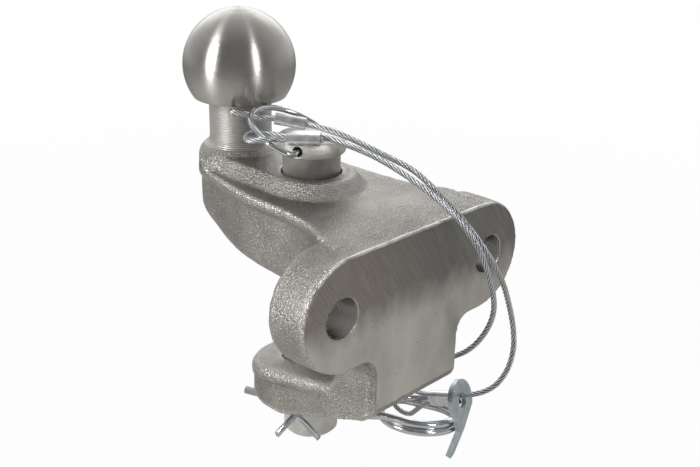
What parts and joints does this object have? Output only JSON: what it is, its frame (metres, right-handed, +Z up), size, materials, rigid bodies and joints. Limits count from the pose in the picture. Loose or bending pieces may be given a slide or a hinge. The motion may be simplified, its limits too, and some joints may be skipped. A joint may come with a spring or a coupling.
{
  "type": "combined ball and pin tow hitch",
  "caption": "Forged steel towing hitch with a 50 mm ball on an arm, a lower jaw with a drop pin between, a spring clip and wire-rope tethers.",
  "frame": {"origin": "centre between the two bolt holes, on the machined mounting face", "axes": "+X along the line of the bolt holes, +Y from the face back towards the ball, +Z up along the drop pin and through the ball"},
  "size_m": [0.1318, 0.1519, 0.1983],
  "materials": {
    "forging": "blasted and oiled",
    "pin": "satin",
    "zinc_wire": "bright zinc",
    "rope": "stranded",
    "ferrule": "pressed",
    "lug": "dull zinc"
  },
  "bodies": {
    "hitch": {"hitch_body": "forging"},
    "drop_pin": {"tow_pin": "pin", "split_pin": "zinc_wire", "tether_outer": "rope", "tether_inner": "rope", "ferrule_outer_top": "ferrule", "ferrule_inner_top": "ferrule"},
    "pin_ring": {"head_ring": "zinc_wire"},
    "clip": {"safety_clip": "zinc_wire", "ferrule_outer_low": "ferrule", "ferrule_inner_low": "ferrule", "anchor_lug": "lug"}
  },
  "joints": [
    {"name": "pin_float", "type": "slide", "parent": "hitch", "child": "drop_pin", "axis": [0, 0, 1], "range_m": [-0.0083, 0]},
    {"name": "ring_swing", "type": "hinge", "parent": "drop_pin", "child": "pin_ring", "pos_m": [0, 0.0632, 0.0456], "axis": [0.9272, 0.3746, 0], "range_deg": [-28, 0], "deforming": ["tether_outer", "tether_inner"]},
    {"name": "clip_pull", "type": "slide", "parent": "drop_pin", "child": "clip", "axis": [0.2981, -0.9543, 0.0215], "range_m": [0, 0.052], "deforming": ["tether_outer", "tether_inner"]}
  ]
}
